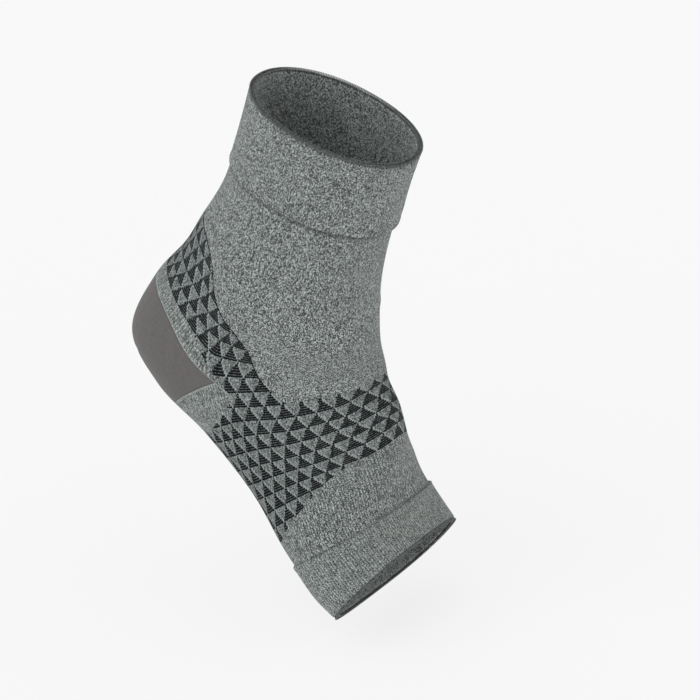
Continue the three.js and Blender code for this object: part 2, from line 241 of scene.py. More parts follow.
# Outlines of the sections at even stations, each evenly spaced round from the under point by the outer side
def surfaceGrid(f, steps):
    stations = np.linspace(0, length, steps["stations"] + 1)
    i = spanOf(rowStations, stations)
    width = (rowStations[i + 1] - rowStations[i])[:, None]
    t = (stations - rowStations[i])[:, None] / width
    at = cubic(rows[i], rows[i + 1], rowSlopes[i], rowSlopes[i + 1], width, t)
    underX, underZ, upperX, upperZ, half, widest, underPower, upperPower, shift = at.T[:, :, None]
    angle = np.linspace(0, 2 * math.pi, steps["angles"] + 1)[None]
    along, across = -np.cos(angle), np.sin(angle)
    power = 2 / np.where(along < 0, underPower, upperPower)
    reach = np.abs(along) ** power
    side = np.sign(across) * np.abs(across) ** power
    middleX, middleZ = underX + (upperX - underX) * widest, underZ + (upperZ - underZ) * widest
    x = middleX + np.where(along < 0, underX - middleX, upperX - middleX) * reach
    z = middleZ + np.where(along < 0, underZ - middleZ, upperZ - middleZ) * reach
    outlines = np.stack([x, shift - half * side, z, np.abs(side)], -1)
    run = np.linalg.norm(np.diff(outlines[..., :3], axis=1), axis=2)
    run = np.concatenate([np.zeros((len(run), 1)), np.cumsum(run, axis=1)], 1)
    rounds = np.linspace(0, 1, steps["rounds"] + 1)
    even = [[np.interp(rounds * r[-1], r, line[:, k]) for k in range(4)] for r, line in zip(run, outlines)]
    x, y, z, share = np.array(even).transpose(1, 0, 2)
    onSide = np.where(rounds < 0.5, -1, 1)[None]
    for which, atX, atZ, height, radius in relief:
        away = (x - atX * f["soleReach"]) ** 2 + (z - atZ * f["instepHeight"]) ** 2
        fall = np.exp(-away / (radius * f["ballWidth"]) ** 2) * share ** 2
        y = y + (onSide == which) * which * height * f["ballWidth"] * fall
    pitch = math.radians(f["footPitch"])
    x, z = x - f["ankleSetback"], z - f["ankleHeight"]
    ahead, up = x * math.cos(pitch) + z * math.sin(pitch), z * math.cos(pitch) - x * math.sin(pitch)
    return np.stack([ahead, y, up], -1)


def normalsOf(points, ring):
    if ring:
        wide = np.concatenate([points[:, -2:-1], points, points[:, 1:2]], 1)
        around = np.gradient(wide, axis=1)[:, 1:-1]
    else:
        around = np.gradient(points, axis=1)
    normal = np.cross(np.gradient(points, axis=0), around)
    return normal / np.maximum(np.linalg.norm(normal, axis=-1, keepdims=True), 1e-12)


# Soft folds under the top band and at the bend of the ankle: mm down the tube and share round it, mm that the
# fold drops for a whole turn, its spread along and round, and its height
folds = [
    (41.7, 0.275, 0, 1.2, 0.06, 0.6),
    (50.4, 0.235, -28, 1.4, 0.05, 0.55),
    (72, 0.245, -100, 1.6, 0.045, 0.45),
    (70, 0.42, -60, 2, 0.06, 0.5),
    (80, 0.6, 50, 2.2, 0.06, 0.5),
    (43, 0.72, -14, 1.4, 0.09, 0.6),
]


def withFolds(points, steps):
    station = np.linspace(0, length, steps["stations"] + 1)[:, None]
    rounds = np.linspace(0, 1, steps["rounds"] + 1)[None]
    lift = 0
    for atStation, atRound, drop, along, spread, height in folds:
        offLine = (station - atStation - drop * (rounds - atRound)) / along
        lift = lift + height * np.exp(-offLine ** 2 - ((rounds - atRound) / spread) ** 2)
    return points + lift[..., None] * normalsOf(points, True)


# Distance from the crease above each fold, where painted shade goes. It grows quickly past the fold's ends.
def creaseDistance(station, rounds):
    rounds = rounds - np.floor(rounds)
    found = []
    for at, atRound, drop, along, spread, _ in folds:
        side = rounds - atRound
        found.append(np.abs(station - at - drop * side + along) + knit["creaseFade"] * (side / spread) ** 2)
    return np.min(found, axis=0)


surfacePoints = withFolds(surfaceGrid(form, gridSteps), gridSteps)
surfaceNormals = normalsOf(surfacePoints, True)


# Points and normals of the sleeve's outer face at any stations and shares round the tube
def sample(stations, rounds):
    a = np.clip(stations / length, 0, 1) * gridSteps["stations"]
    b = (rounds - np.floor(rounds)) * gridSteps["rounds"]
    i = np.minimum(a.astype(int), gridSteps["stations"] - 1)
    j = np.minimum(b.astype(int), gridSteps["rounds"] - 1)
    s, t = (a - i)[..., None], (b - j)[..., None]

    def between(grid):
        near = grid[i, j] * (1 - t) + grid[i, j + 1] * t
        far = grid[i + 1, j] * (1 - t) + grid[i + 1, j + 1] * t
        return near * (1 - s) + far * s

    normal = between(surfaceNormals)
    return between(surfacePoints), normal / np.linalg.norm(normal, axis=-1, keepdims=True)


print("form ready: %.0f mm along the tube" % length)


# The knit's own coordinates: rows of the triangle pattern down the tube, and repeats of it round the tube

knit = {
    "firstRow": -9.5,
    "pocketRow": 1.4,
    "lastRow": 14,
    "corner": 15 / 64,  # share round the tube of the heel pocket's corners
    "holeEnd": 16 / 64,  # share round the tube of the ends of the plain heel area
    "repeats": 36,
    "walesInRepeat": 11,
    "coursesInRow": 12,
    "cuffRow": 7.3,  # mm to a row in the top band
    "hemRow": 6.8,
    "columns": 384,
    "rowStep": 0.9,  # mm between lines of the mesh
    "creaseShadow": 1.6,  # how far from a seam the shade is as deep as in a crease
    "creaseFade": 1.5,
    "farFromSeam": 9.0,  # kept where a patch has no measured edge
}
guideColumns = np.array([0, 0.08, 0.16, knit["corner"], 0.33, 0.42, 0.5])

# Guide courses, read off the photograph's rows: row, kink at the pocket's corner, and how far each has come
# down the tube at the guide columns
legCourses = [
    (knit["firstRow"], 0, (0, 0, 0, 0, 0, 0, 0)),
    (-4, 0, (0.215, 0.217, 0.25, 0.28, 0.263, 0.215, 0.183)),
    (-2, 0.3, (0.306, 0.307, 0.329, 0.366, 0.349, 0.296, 0.258)),
    (0, 0.6, (0.36, 0.362, 0.399, 0.453, 0.422, 0.36, 0.317)),
    (knit["pocketRow"], 1, (0.393, 0.398, 0.441, 0.53, 0.484, 0.409, 0.355)),
]
footCourses = [
    (knit["pocketRow"], 1, (0.683, 0.656, 0.589, 0.53, 0.484, 0.409, 0.355)),
    (4, 0.3, (0.742, 0.723, 0.684, 0.636, 0.596, 0.537, 0.449)),
    (6, 0, (0.801, 0.79, 0.758, 0.718, 0.669, 0.61, 0.556)),
    (8, 0, (0.855, 0.847, 0.824, 0.793, 0.741, 0.678, 0.632)),
    (11, 0, (0.946, 0.941, 0.924, 0.897, 0.858, 0.812, 0.782)),
    (knit["lastRow"], 0, (1, 1, 1, 1, 1, 1, 1)),
]

# Edges of the patterned band, in rows, at shares round the tube from the back or sole to the front
bandTopPoints = [
    (0, -5.3), (0.08, -5.1), (0.13, -5.1), (0.15, -4.9), (0.17, -4.4), (0.19, -3.5), (0.22, -2.8),
    (0.25, -2.2), (0.28, -1.1), (0.31, 1), (0.34, 3), (0.5, 3),
]
heelTopPoints = [(0, 0), (0.18, 0), (knit["corner"], 0.8), (knit["holeEnd"], 2.2)]
heelBottomPoints = [(0, 4.3), (0.15, 4.2), (0.2, 3.6), (knit["corner"], 2.9), (knit["holeEnd"], 2.2)]
bandBottomPoints = [
    (0, 12.3), (0.2, 12), (0.23, 11.4), (0.26, 11), (0.3, 10.4), (0.34, 9.8), (0.4, 9.1), (0.5, 9),
]


def turned(rounds):
    return np.abs(rounds - np.round(rounds))


# How far a guide course has come at shares round the tube. It is level at the back and at the front.
def courseAlong(course, rounds):
    _, kink, along = course
    along = np.array(along, float)
    slope = slopesOf(guideColumns, along[:, None])[:, 0]
    slope[0] = slope[-1] = 0
    chord = np.diff(along) / np.diff(guideColumns)
    corner = list(guideColumns).index(knit["corner"])
    leaving, arriving = slope.copy(), slope.copy()
    arriving[corner] += kink * (1.5 * chord[corner - 1] - 0.5 * slope[corner - 1] - slope[corner])
    leaving[corner] += kink * (1.5 * chord[corner] - 0.5 * slope[corner + 1] - slope[corner])
    i = spanOf(guideColumns, rounds)
    width = guideColumns[i + 1] - guideColumns[i]
    t = (rounds - guideColumns[i]) / width
    return cubic(along[i], along[i + 1], leaving[i], arriving[i + 1], width, t)


# Station of a row of the knit at shares round the tube. Behind the corners the pocket splits the courses.
def knitStation(row, rounds, onFootSide):
    rounds = turned(np.asarray(rounds, float))
    row = np.broadcast_to(row, rounds.shape).astype(float)
    share = np.zeros(rounds.shape)
    behind = rounds < knit["corner"] - 1e-9
    halves = [(behind, footCourses if onFootSide else legCourses), (~behind, legCourses + footCourses[1:])]
    for chosen, courses in halves:
        if not chosen.any():
            continue
        at = np.array([c[0] for c in courses], float)
        values = np.array([courseAlong(c, rounds[chosen]) for c in courses])
        slope = slopesOf(at, values)
        i = spanOf(at, row[chosen])
        j = np.arange(values.shape[1])
        width = at[i + 1] - at[i]
        t = (row[chosen] - at[i]) / width
        share[chosen] = cubic(values[i, j], values[i + 1, j], slope[i, j], slope[i + 1, j], width, t)
    return form["cuffDepth"] + share * (length - form["cuffDepth"] - form["hemDepth"])


# Where the fabric stretches unevenly: repeats gained, and the middle and spread in rows and in shares round
stretches = [(0.5, -1.3, 1.4, 0.275, 0.035), (-0.3, 4.2, 1.6, 0.385, 0.06)]


# Repeats of the pattern counted round the tube. They drift a little towards the front on the foot.
def repeatsAt(row, rounds):
    drift = {"most": 1.5, "from": -0.5, "over": 6.5, "lean": 0.8}
    side = rounds - np.round(rounds)
    ramp = np.clip((row - drift["from"]) / drift["over"], 0, 1)
    ramp = ramp * ramp * (3 - 2 * ramp)
    shift = drift["most"] * ramp * np.sin(math.pi * (2 * np.abs(side)) ** drift["lean"])
    for gain, atRow, rowSpread, at, spread in stretches:
        shift = shift + gain * np.exp(-((row - atRow) / rowSpread) ** 2 - ((np.abs(side) - at) / spread) ** 2)
    return knit["repeats"] * rounds + np.sign(side) * shift


def edge(points):
    at, value = zip(*points)
    return lambda rounds: np.interp(turned(rounds), at, value)


bandTop, bandBottom = edge(bandTopPoints), edge(bandBottomPoints)
heelTop, heelBottom = edge(heelTopPoints), edge(heelBottomPoints)


def level(row):
    return lambda rounds: np.full(np.shape(rounds), float(row))


def columnsBetween(start, end):
    return start + np.arange(round((end - start) * knit["columns"]) + 1) / knit["columns"]


allRound = columnsBetween(0, 1)
heelRound = columnsBetween(-knit["holeEnd"], knit["holeEnd"])
frontRound = columnsBetween(knit["holeEnd"], 1 - knit["holeEnd"])
pocketRound = columnsBetween(-knit["corner"], knit["corner"])


# Distance from a line at the stations given, one for each column, measured square to the line
def awayFrom(line, station, points):
    run = np.linalg.norm(np.gradient(points, axis=1), axis=2).mean(0)
    return (station - line) / np.sqrt(1 + (np.gradient(line) / run) ** 2)


# A patch between two edges, each a row of the knit for every share round the tube. sunk says how deep its
# first and last line lie in the groove of a sewn edge. measured picks the edge whose distance is kept.
def knitPatch(rounds, top, bottom, onFootSide, sunk=(0, 0), measured="none"):
    a, b = top(rounds), bottom(rounds)
    upper = knitStation(a, rounds, onFootSide)
    depth = knitStation(b, rounds, onFootSide) - upper
    steps = max(2, math.ceil(depth.max() / knit["rowStep"]))
    share = np.linspace(0, 1, steps + 1)[:, None]
    row = a + (b - a) * share
    across = np.broadcast_to(rounds, row.shape)
    station = np.array([knitStation(r, rounds, onFootSide) for r in row])
    points, normals = sample(station, across)
    inner = points - form["wall"] * normals
    wales = repeatsAt(row, across) * knit["walesInRepeat"]
    for depthSunk, line, beside in ((sunk[0], 0, 1), (sunk[1], -1, -2)):
        if depthSunk:
            points[line] -= depthSunk * normals[line]
            tilted = normalsOf(points, True)
            normals[[line, beside]] = tilted[[line, beside]]
    away = np.full(station.shape, knit["farFromSeam"])
    if measured == "top":
        away = awayFrom(upper, station, points)
    if measured == "bottom":
        away = awayFrom(-upper - depth, -station, points)
    # The creases' distance joins the seam's, so the creases take the same painted shade
    away = np.minimum(away, knit["creaseShadow"] + creaseDistance(station, across))
    return {
        "outer": points, "inner": inner,
        "outerNormal": normals, "innerNormal": -normals,
        "stitch": np.stack([wales, row * knit["coursesInRow"]], -1),
        "seam": np.stack([away, turned(across)], -1),
    }


# A closed shell of one or more patches that share edges: outer and inner faces, and a rim along each edge
# that only one face has
def shell(name, patches):
    outer = np.concatenate([p["outer"].reshape(-1, 3) for p in patches])
    inner = np.concatenate([p["inner"].reshape(-1, 3) for p in patches])
    normals = [np.concatenate([p[k].reshape(-1, 3) for p in patches]) for k in ("outerNormal", "innerNormal")]
    maps = {layer: np.concatenate([p[key].reshape(-1, 2) for p in patches])
            for layer, key in (("knit", "stitch"), ("seam", "seam"))}
    corners, base = [], 0
    for p in patches:
        lines, across = p["outer"].shape[:2]
        index = base + np.arange(lines * across).reshape(lines, across)
        quads = np.stack([index[:-1, :-1], index[1:, :-1], index[1:, 1:], index[:-1, 1:]], -1)
        corners.append(quads.reshape(-1, 4))
        base += lines * across
    corners = np.concatenate(corners)
    place = np.round(np.concatenate([outer, inner], 1) * stepsPerMm).astype(np.int64)
    first, shared = np.unique(place, axis=0, return_index=True, return_inverse=True)[1:]
    shared = shared.reshape(-1)
    count = len(first)
    faces, sources, edges = [], [], set()
    for quad in corners:
        kept = [k for k in range(4) if shared[quad[k]] != shared[quad[k - 1]]]
        if len(kept) < 3:
            continue
        source = [int(quad[k]) for k in kept]
        face = [int(shared[v]) for v in source]
        faces.append(face)
        sources.append(source)
        edges.update(zip(face, face[1:] + face[:1]))
    rim = []
    for face, source in zip(faces, sources):
        for k in range(len(face)):
            a, b = face[k], face[(k + 1) % len(face)]
            if (b, a) not in edges:
                rim.append((a, b, source[k], source[(k + 1) % len(face)]))
    everyFace = faces + [[count + v for v in reversed(face)] for face in faces]
    everyFace += [[b, a, count + a, count + b] for a, b, _, _ in rim]
    mesh = bpy.data.meshes.new(name)
    mesh.from_pydata(np.concatenate([outer[first], inner[first]]) * mm, [], everyFace)
    loops = [v for s in sources for v in s]
    loopsInside = [v for s in sources for v in reversed(s)]
    rimLoops = [v for _, _, a, b in rim for v in (b, a, a, b)]
    for layer, values in maps.items():
        uv = mesh.uv_layers.new(name=layer)
        uv.data.foreach_set("uv", values[loops + loopsInside + rimLoops].astype(np.float32).ravel())
    rimNormals = np.zeros((len(rimLoops), 3))
    mesh.polygons.foreach_set("use_smooth", [True] * len(mesh.polygons))
    given = np.concatenate([normals[0][loops], normals[1][loopsInside], rimNormals])
    mesh.normals_split_custom_set(given.tolist())
    obj = bpy.data.objects.new(name, mesh)
    bpy.context.scene.collection.objects.link(obj)
    return obj


# Node helpers

def newGroup(name, inputs, outputs, kind="ShaderNodeTree"):
    tree = bpy.data.node_groups.new(name, kind)
    for way, sockets in (("INPUT", inputs), ("OUTPUT", outputs)):
        for label, form, *value in sockets:
            socket = tree.interface.new_socket(label, in_out=way, socket_type="NodeSocket" + form)
            if value:
                socket.default_value = value[0]
    return tree, tree.nodes.new("NodeGroupInput"), tree.nodes.new("NodeGroupOutput")


# Gives each input, named by its label or number, a link from a socket or a plain value
def feed(tree, node, values):
    for key, value in values.items():
        if isinstance(value, bpy.types.NodeSocket):
            tree.links.new(value, node.inputs[key])
        else:
            node.inputs[key].default_value = value


def made(tree, kind, values, **settings):
    node = tree.nodes.new(kind)
    for name, setting in settings.items():
        setattr(node, name, setting)
    feed(tree, node, values)
    return node


def calculated(tree, operation, *values, clamp=False):
    node = made(tree, "ShaderNodeMath", dict(enumerate(values)), operation=operation, use_clamp=clamp)
    return node.outputs[0]


# The four sums in a tree, and any other operation by its name
def sums(tree):
    named = [partial(calculated, tree, name) for name in ("ADD", "SUBTRACT", "MULTIPLY", "DIVIDE")]
    return (*named, partial(calculated, tree))


def separated(tree, vector):
    node = made(tree, "ShaderNodeSeparateXYZ", {0: vector})
    return node.outputs[0], node.outputs[1]


def joined(tree, x, y):
    return made(tree, "ShaderNodeCombineXYZ", {0: x, 1: y}).outputs[0]


def mixed(tree, share, a, b):
    return made(tree, "ShaderNodeMix", {0: share, 6: a, 7: b}, data_type="RGBA").outputs[2]


# Share of the way from one value to another, or that share between two further values
def ramped(tree, *values):
    return made(tree, "ShaderNodeMapRange", dict(enumerate(values))).outputs[0]


def whiteNoise(tree, vector, seed):
    node = made(tree, "ShaderNodeTexWhiteNoise", {}, noise_dimensions="4D")
    feed(tree, node, {"Vector": vector, "W": seed})
    return node.outputs["Value"]


def cloud(tree, vector, scale, detail):
    return made(tree, "ShaderNodeTexNoise", {"Vector": vector, "Scale": scale, "Detail": detail}).outputs[0]


def bumped(tree, height, depth, strength, **under):
    values = {"Height": height, "Distance": depth * mm, "Strength": strength, **under}
    return made(tree, "ShaderNodeBump", values).outputs[0]


def clothMaterial(name, look):
    material = bpy.data.materials.new(name)
    material.use_nodes = True
    shader = material.node_tree.nodes["Principled BSDF"]
    feed(material.node_tree, shader, {
        "Roughness": look["roughness"], "Sheen Weight": look["sheen"], "Sheen Roughness": 0.5,
        "Specular IOR Level": look["specular"],
    })
    return material, material.node_tree, shader


stitchShape = {
    "slant": 0.8,  # courses that each leg drops from the stitch's middle to its side
    "legMiddle": 0.25,  # wales from the stitch's middle to a leg's
    "overlap": 0.55,  # how much lower a leg lies at its ends
    "valleyWidth": 0.34,  # wales over which a rib falls to the hollow beside it
    "valleyDepth": 0.7,
}


# One V-shaped stitch to each wale and course. Cell numbers the stitch, Leg its two legs, Fibre a leg's
# halves, Course is the course with the V in it, Height the relief, and Valley the dip beside each rib,
# which the material darkens as painted shade.
def stitchGroup(s):
    tree, given, out = newGroup(
        "knitStitch",
        [("Stitch", "Vector"), ("Slant", "Float", s["slant"]), ("Rib Wales", "Float", 1.0)],
        [
            ("Cell", "Vector"), ("Leg", "Vector"), ("Fibre", "Vector"), ("Course", "Float"),
            ("Height", "Float"), ("Valley", "Float"),
        ],
    )
    _, minus, times, over, do = sums(tree)
    wale, course = separated(tree, given.outputs["Stitch"])
    ribWales = given.outputs["Rib Wales"]
    fromMiddle = do("ABSOLUTE", minus(do("FRACT", wale), 0.5))
    bent = minus(course, times(fromMiddle, given.outputs["Slant"]))
    cellY = do("FLOOR", bent)
    legX = do("FLOOR", times(wale, 2.0))
    offLeg = over(minus(fromMiddle, s["legMiddle"]), s["legMiddle"])
    legRound = do("MAXIMUM", minus(1.0, times(offLeg, offLeg)), 0.0)
    along = minus(times(do("FRACT", bent), 2.0), 1.0)
    overlap = minus(1.0, times(times(along, along), s["overlap"]))
    fromRib = do("ABSOLUTE", minus(do("FRACT", over(wale, ribWales)), 0.5))
    valley = ramped(tree, fromRib, minus(0.5, over(s["valleyWidth"], ribWales)), 0.5)
    feed(tree, out, {
        "Cell": joined(tree, do("FLOOR", wale), cellY),
        "Leg": joined(tree, legX, cellY),
        "Fibre": joined(tree, legX, do("FLOOR", times(bent, 2.0))),
        "Course": bent,
        "Height": minus(times(do("SQRT", legRound), overlap), times(valley, s["valleyDepth"])),
        "Valley": valley,
    })
    return tree


heatherShape = {
    "stagger": 9.0,  # courses by which the runs of one wale may start after those of another
    "streakScale": 0.11,  # faint streaks along the courses
    "streakDetail": 2.0,
    "streakByWale": 0.3,
    "streakByCourse": 3.0,
    "streakShare": 0.1,
}


# Heather yarn: each leg, half leg and short run of stitches takes its own share of light and dark fibre
def heatherGroup(s):
    tree, given, out = newGroup(
        "heatherYarn",
        [
            ("Fibre", "Vector"), ("Leg", "Vector"), ("Stitch", "Vector"), ("Fibre Share", "Float", 0.6),
            ("Dark", "Color", (0.1, 0.1, 0.1, 1)), ("Light", "Color", (0.4, 0.4, 0.4, 1)),
            ("Run Length", "Float", 3.0), ("Run Share", "Float", 0.3), ("Contrast", "Float", 1.0),
            ("Turning", "Float", 0.5), ("Seed", "Float", 0.0),
        ],
        [("Color", "Color"), ("Share", "Float")],
    )
    plus, minus, times, over, do = sums(tree)

    def chance(vector, number):
        return whiteNoise(tree, vector, plus(given.outputs["Seed"], number))

    def shared(share, a, b):
        return plus(times(a, share), times(b, minus(1.0, share)))

    wale, course = separated(tree, given.outputs["Stitch"])
    column = do("FLOOR", wale)
    byLeg, byFibre = chance(given.outputs["Leg"], 0.0), chance(given.outputs["Fibre"], 1.0)
    stagger = times(chance(joined(tree, column, 0.0), 2.0), s["stagger"])
    run = do("FLOOR", over(plus(course, stagger), given.outputs["Run Length"]))
    byRun = chance(joined(tree, column, run), 3.0)
    streakAt = joined(tree, times(wale, s["streakByWale"]), times(course, s["streakByCourse"]))
    streak = minus(cloud(tree, streakAt, s["streakScale"], s["streakDetail"]), 0.5)
    fine = shared(given.outputs["Fibre Share"], byFibre, byLeg)
    total = plus(shared(given.outputs["Run Share"], byRun, fine), times(streak, s["streakShare"]))
    centred = times(minus(total, given.outputs["Turning"]), given.outputs["Contrast"])
    share = do("ADD", centred, 0.5, clamp=True)
    colour = mixed(tree, share, given.outputs["Dark"], given.outputs["Light"])
    feed(tree, out, {"Color": colour, "Share": share})
    return tree


triangleShape = {
    "tip": 1.2,  # width at the first two courses, in courses
    "growth": 2.1,  # added for every two courses
    "frontInset": 0.6,  # wales that the front edge stands back, and the least it keeps
    "lineReach": 0.8,  # mm from the band's top edge
    "lineMiddle": 0.225,  # share round the tube
    "lineSpread": 0.105,
    "lineDash": 0.8,  # share of two courses that the line fills
}


# Rows of triangles that point to the top band, each row half a repeat from the last. They are striped with
# black, two courses to a stripe and its gap, a light wale follows each front edge, and Seam draws the band's
# top line.
def triangleGroup(s):
    tree, given, out = newGroup(
        "triangleRows",
        [
            ("Cell", "Vector"), ("Course", "Float"), ("Seam", "Vector"),
            ("Wales", "Float", 11.0), ("Courses", "Float", 12.0), ("Black Share", "Float", 0.7),
        ],
        [("Black", "Float"), ("Light", "Float"), ("Inside", "Float")],
    )
    plus, minus, times, over, do = sums(tree)
    wales, courses, course = (given.outputs[label] for label in ("Wales", "Courses", "Course"))
    row = do("FLOOR", over(course, courses))
    below = times(minus(course, times(row, courses)), 0.5)
    offset = times(plus(times(do("FLOORED_MODULO", row, 2.0), wales), 1.0), 0.5)
    place = minus(plus(separated(tree, given.outputs["Cell"])[0], 0.5), offset)
    away = minus(place, times(do("ROUND", over(place, wales)), wales))
    reach = over(plus(times(do("FLOOR", below), s["growth"]), s["tip"]), courses)
    half = times(reach, times(wales, 0.5))
    frontEdge = do("MAXIMUM", minus(half, s["frontInset"]), s["frontInset"])
    inside = times(do("GREATER_THAN", away, times(half, -1.0)), do("LESS_THAN", away, frontEdge))
    striped = do("GREATER_THAN", do("FRACT", below), minus(1.0, given.outputs["Black Share"]))
    fromEdge, turn = separated(tree, given.outputs["Seam"])
    near = do("LESS_THAN", fromEdge, s["lineReach"])
    beside = do("LESS_THAN", do("ABSOLUTE", minus(turn, s["lineMiddle"])), s["lineSpread"])
    dash = do("LESS_THAN", do("FRACT", times(course, 0.5)), s["lineDash"])
    line = times(times(near, beside), dash)
    after = minus(away, frontEdge)
    feed(tree, out, {
        "Black": do("MAXIMUM", times(inside, striped), line),
        "Inside": inside,
        "Light": times(do("GREATER_THAN", after, 0.0), do("LESS_THAN", after, 1.0)),
    })
    return tree


groups = {
    "stitch": stitchGroup(stitchShape), "heather": heatherGroup(heatherShape),
    "triangles": triangleGroup(triangleShape),
}


def placed(tree, name, values):
    return made(tree, "ShaderNodeGroup", values, node_tree=groups[name]).outputs


# Linear colours worked out from the shades as they look
def shade(red, green, blue):
    def linear(v):
        v = v / 255
        return v / 12.92 if v <= 0.04045 else ((v + 0.055) / 1.055) ** 2.4
    return (linear(red), linear(green), linear(blue), 1)


yarns = {
    "greyDark": shade(68, 72, 71),
    "greyLight": shade(200, 207, 204),
    "bandLight": shade(182, 190, 189),
    "black": shade(9, 10, 14),
    # painted shade: mixed into the dips beside the ribs, near sewn edges, along the heel's crease and in the
    # creases above folds
    "hollow": shade(20, 21, 21),
    "paleLine": shade(172, 180, 177),
    # edge loops' thread: darker than the grey yarn, as painted shadow along the sleeve's edges
    "edgeShadowDark": shade(50, 52, 52),
    "edgeShadowLight": shade(122, 127, 125),
    "heelDark": shade(92, 89, 88),
    "heelLight": shade(112, 109, 107),
}

knitDefaults = {
    "dark": "greyDark", "light": "greyLight", "contrast": 4.2, "turning": 0.61, "fibreShare": 0.65,
    "run": 2.0, "runShare": 0.05, "sheen": 0.15, "specular": 0.25,
    "ribWales": 1.0, "valley": 0.15, "relief": 0.12, "patterned": False,
    # seam tone, shade, reach and fade: painted shade near sewn edges, along the heel's crease and in the
    # creases above folds
    "seamTone": "hollow", "seamShade": 0.4, "seamReach": (0.0, 0.9), "seamFrom": 0.0,
}
knits = {
    # the leg's painted shadow under the proud top band is full for 1.4 mm below its sewn edge and gone by 2.6
    # mm
    "legKnit": {"contrast": 3.7, "seamShade": 0.42, "seamReach": (1.4, 2.6), "seamFrom": 0.8},
    "cuffKnit": {"seamShade": 0.6, "seamFrom": 0.6},
    "bandKnit": {"light": "bandLight", "contrast": 2.0, "run": 3.0, "runShare": 0.15, "seamShade": 0.0,
                 "sheen": 0.04, "specular": 0.1, "patterned": True},
    "fineKnit": {"contrast": 1.7, "run": 3.0, "runShare": 0.2, "ribWales": 2.0, "valley": 0.85,
                 "seamTone": "paleLine", "seamShade": 0.6},
    "footKnit": {"contrast": 2.5, "run": 4.0, "runShare": 0.15, "ribWales": 2.0, "valley": 0.8,
                 "seamFrom": 0.1},
    "hemKnit": {"contrast": 1.9, "run": 4.0, "runShare": 0.15, "ribWales": 2.0, "valley": 0.85,
                "seamFrom": 0.1},
    "heelKnit": {"dark": "heelDark", "light": "heelLight", "contrast": 0.7, "turning": 0.5,
                 "fibreShare": 0.3, "run": 7.0, "runShare": 0.3, "ribWales": 1.5, "valley": 0.3,
                 "relief": 0.06, "seamShade": 0.3},
}


cloth = {
    "roughness": 0.9,
    "unevenScale": 90.0,  # soft unevenness of the whole fabric
    "unevenDetail": 2.0,
    "unevenDepth": 0.9,
    "unevenStrength": 0.6,
    "stitchStrength": 0.7,
    "seamFade": (0.05, 0.45),  # shares round the tube between which a seam's shade grows to full
    "insideShade": 0.5,  # of black inside a triangle
    "frontLight": 0.6,
}


def knitMaterial(name):
    k = {**knitDefaults, **knits[name]}
    material, tree, shader = clothMaterial(name, {**cloth, **k})
    times = partial(calculated, tree, "MULTIPLY")
    at, seam = (made(tree, "ShaderNodeUVMap", {}, uv_map=layer).outputs[0] for layer in ("knit", "seam"))
    stitch = placed(tree, "stitch", {"Stitch": at, "Rib Wales": k["ribWales"]})
    yarn = placed(tree, "heather", {
        "Fibre": stitch["Fibre"], "Leg": stitch["Leg"], "Stitch": at, "Fibre Share": k["fibreShare"],
        "Dark": yarns[k["dark"]], "Light": yarns[k["light"]], "Run Length": k["run"],
        "Run Share": k["runShare"], "Contrast": k["contrast"], "Turning": k["turning"],
    })
    # Painted shade: the yarn's colour darkened in the dip beside each rib
    colour = mixed(tree, times(stitch["Valley"], k["valley"]), yarn["Color"], yarns["hollow"])
    # Painted shade near sewn edges, along the heel's crease and in the creases above folds, in the seam tone;
    # the heel surround's tone is a pale line
    if k["seamShade"]:
        fromSeam, turn = separated(tree, seam)
        nearSeam = ramped(tree, fromSeam, *k["seamReach"], k["seamShade"], 0.0)
        if k["seamFrom"]:
            nearSeam = times(nearSeam, ramped(tree, turn, *cloth["seamFade"], k["seamFrom"], 1.0))
        colour = mixed(tree, nearSeam, colour, yarns[k["seamTone"]])
    if k["patterned"]:
        triangles = placed(tree, "triangles", {
            "Cell": stitch["Cell"], "Course": stitch["Course"], "Seam": seam,
            "Wales": float(knit["walesInRepeat"]), "Courses": float(knit["coursesInRow"]),
        })
        colour = mixed(tree, times(triangles["Inside"], cloth["insideShade"]), colour, yarns["black"])
        colour = mixed(tree, times(triangles["Light"], cloth["frontLight"]), colour, yarns["paleLine"])
        colour = mixed(tree, triangles["Black"], colour, yarns["black"])
    place = tree.nodes.new("ShaderNodeTexCoord").outputs["Object"]
    uneven = cloud(tree, place, cloth["unevenScale"], cloth["unevenDetail"])
    soft = bumped(tree, uneven, cloth["unevenDepth"], cloth["unevenStrength"])
    rough = bumped(tree, stitch["Height"], k["relief"], cloth["stitchStrength"], Normal=soft)
    feed(tree, shader, {"Base Color": colour, "Normal": rough})
    return material


materials = {name: knitMaterial(name) for name in knits}
print("materials ready:", len(materials))


def finishPiece(obj, node, material):
    obj.data.materials.append(materials[material])
    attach(obj, "root")
    if node:
        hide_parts(node)
    return obj


# Doubled bands

bands = {
    "rise": 1.0,  # stands out from the panel beside it
    "thickness": 2.6,
    "fold": 1.1,  # rounding of the folded edge
    "step": 1.0,  # rounding of the sewn edge
    "bead": 0.25,  # ridge just above the sewn edge
    "groove": 0.4,
    "innerBead": 0.35,
    "proudInFront": 0.9,  # added to the top band's rise near its lower edge
    "proudSpread": 0.13,  # share round the tube
    "proudFrom": 0.2,  # shares of the band's depth where the added rise starts, and that it takes
    "proudOver": 0.6,
    "ridge": 3,  # length of the bead's swell, in steps of the sewn edge
    "ridgeLines": 6,
    "roundLines": 8,
    "columns": allRound,
}


